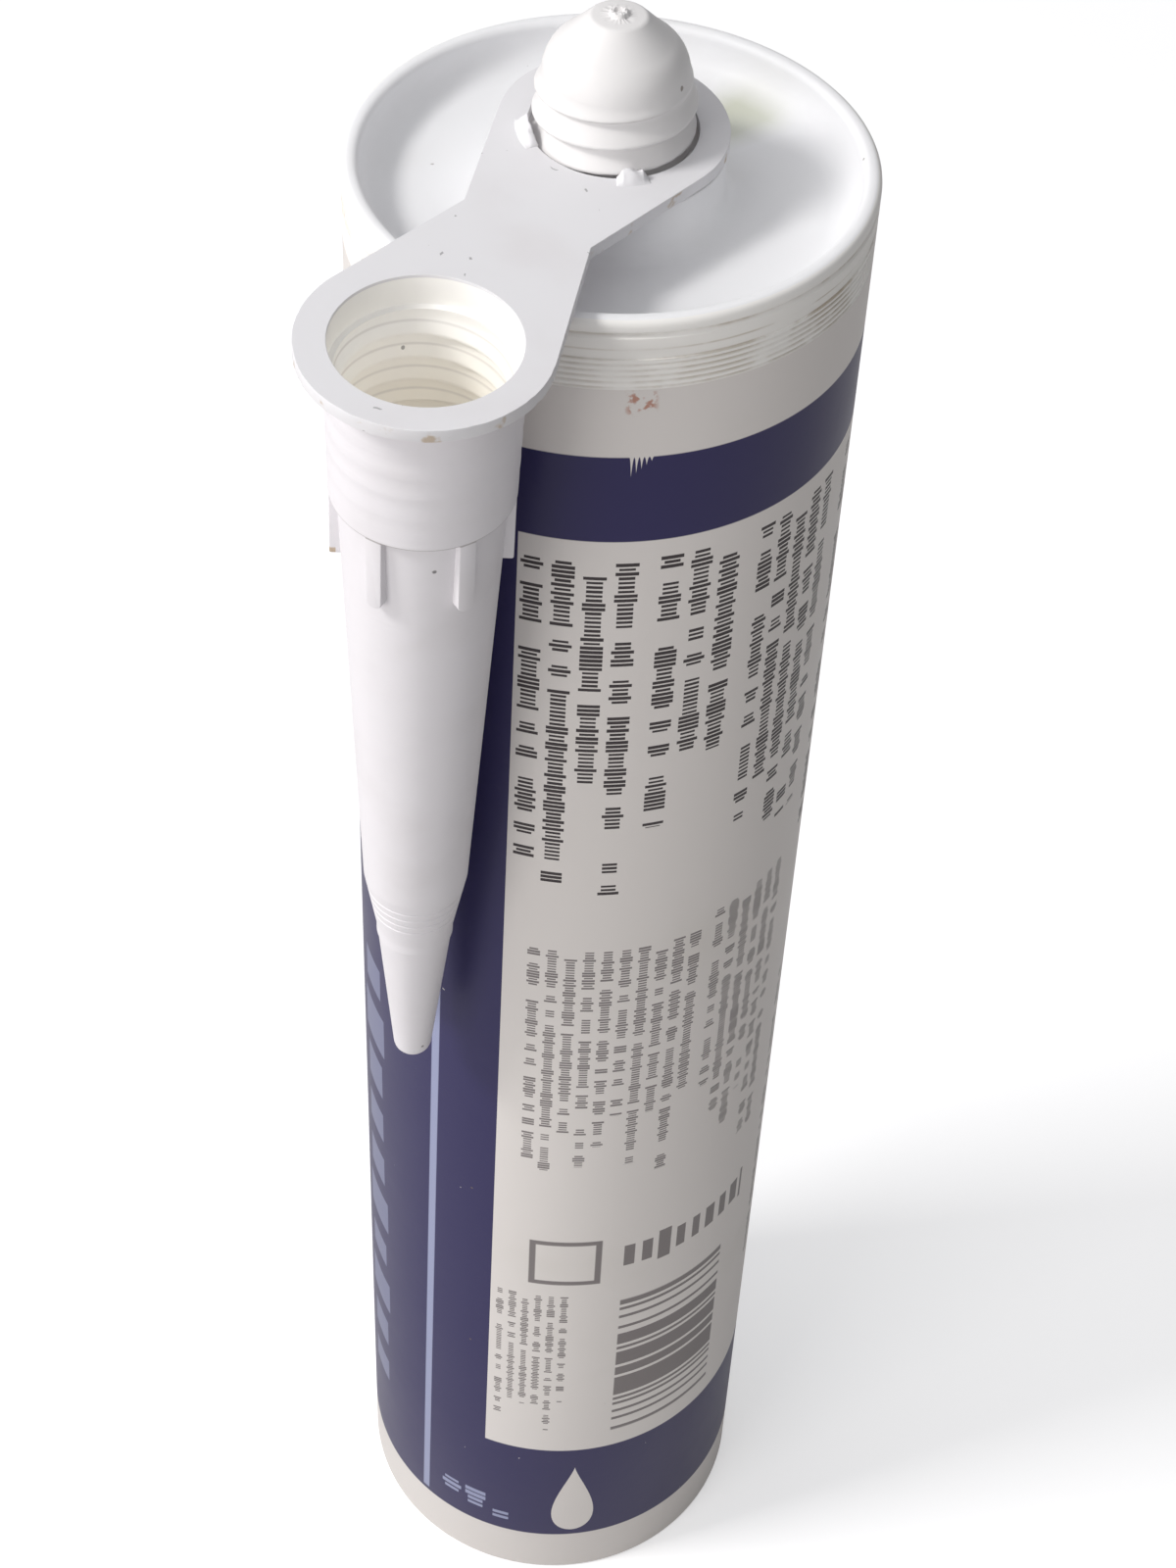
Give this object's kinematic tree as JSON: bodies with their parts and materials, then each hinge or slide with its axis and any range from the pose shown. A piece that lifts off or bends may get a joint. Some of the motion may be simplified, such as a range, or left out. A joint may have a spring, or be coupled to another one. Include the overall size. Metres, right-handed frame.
{
  "type": "caulk tube",
  "caption": "Upright white plastic caulk tube with a closed threaded spout, an open rear with a sliding piston, and a tapered nozzle hanging from a flat strap.",
  "frame": {"origin": "centre of the open rear rim, on the barrel's axis, in the plane the tube stands on", "axes": "+Z along the barrel to the spout, -Y towards the hanging nozzle"},
  "size_m": [0.05, 0.0709, 0.2297],
  "materials": {
    "barrel": "satin white moulded polyethylene with dark blue printed fields",
    "nozzle": "satin white moulded polyethylene",
    "piston": "satin white moulded polyethylene",
    "paste": "smooth white paste"
  },
  "bodies": {
    "barrel": {"barrel": "barrel", "paste": "paste"},
    "nozzle": {"nozzle": "nozzle"},
    "piston": {"piston": "piston"}
  },
  "joints": [
    {"name": "nozzle_swivel", "type": "hinge", "parent": "barrel", "child": "nozzle", "pos_m": [0, 0, 0.2178], "axis": [0, 0, 1], "continuous": true},
    {"name": "piston_slide", "type": "slide", "parent": "barrel", "child": "piston", "axis": [0, 0, 1], "range_m": [0, 0.1776], "deforming": ["paste"]}
  ]
}
